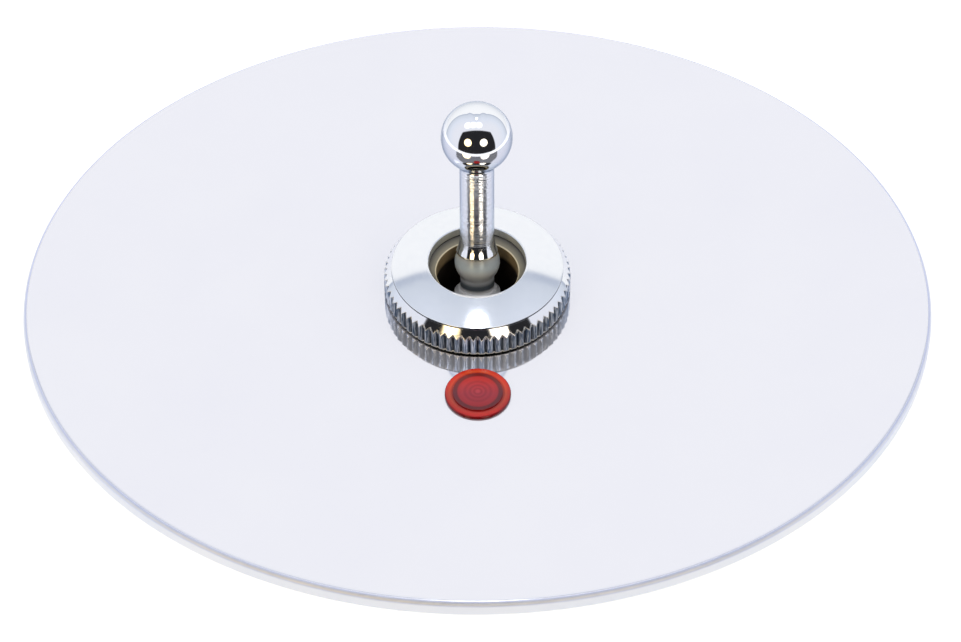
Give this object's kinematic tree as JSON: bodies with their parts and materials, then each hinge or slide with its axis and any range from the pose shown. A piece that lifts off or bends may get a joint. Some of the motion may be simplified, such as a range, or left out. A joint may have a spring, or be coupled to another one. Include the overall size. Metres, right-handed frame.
{
  "type": "illuminated toggle switch",
  "caption": "Oval polished wall plate with a ball-ended toggle lever in a knurled ring, a red indicator lens, and the switch, lamp and terminals behind it.",
  "frame": {"origin": "centre of the wall plane, midway between the two box screw slots, on the back of the frame's ears", "axes": "+Z out of the wall, +Y up the wall and away from the indicator lens, +X along the line of the box screws and along both hinge axes"},
  "size_m": [0.09, 0.0794, 0.0483],
  "materials": {
    "polished_steel": "mirror polished",
    "chrome": "chrome plated, turned",
    "zinc_steel": "zinc plated",
    "nickel_brass": "satin",
    "phenolic": "moulded",
    "spring_steel": "drawn",
    "nylon": "moulded",
    "brass": "stamped",
    "silver": "satin",
    "red_lens": "moulded, translucent",
    "lamp_glass": "drawn",
    "ceramic": "lacquered",
    "lead_sleeve": "extruded"
  },
  "bodies": {
    "base": {"face_plate": "polished_steel", "knurled_ring": "chrome", "pivot_pin": "zinc_steel", "threaded_bushing": "nickel_brass", "lock_washer": "zinc_steel", "back_nut": "zinc_steel", "support_frame": "zinc_steel", "switch_cover": "zinc_steel", "switch_housing": "phenolic", "fixed_contacts": "silver", "common_terminal": "brass", "terminal_front": "brass", "terminal_back": "brass", "terminal_screws": "zinc_steel", "clamp_washers": "zinc_steel", "indicator_lens": "red_lens", "lens_clip": "spring_steel", "lamp_holder": "nylon", "neon_lamp": "lamp_glass", "ballast_resistor": "ceramic", "lamp_leads": "lead_sleeve"},
    "lever": {"toggle_lever": "chrome", "lever_spring": "spring_steel", "spring_plunger": "nylon"},
    "rocker": {"contact_rocker": "brass", "moving_contacts": "silver"}
  },
  "joints": [
    {"name": "toggle_tilt", "type": "hinge", "parent": "base", "child": "lever", "pos_m": [0, 0, 0.0012], "axis": [1, 0, 0], "range_deg": [0, 32]},
    {"name": "rocker_tilt", "type": "hinge", "parent": "base", "child": "rocker", "pos_m": [0, 0, -0.0098], "axis": [1, 0, 0], "range_deg": [-16, 0]}
  ],
  "couplings": [
    {"joint": "rocker_tilt", "follows": "toggle_tilt", "ratio": -0.5}
  ]
}
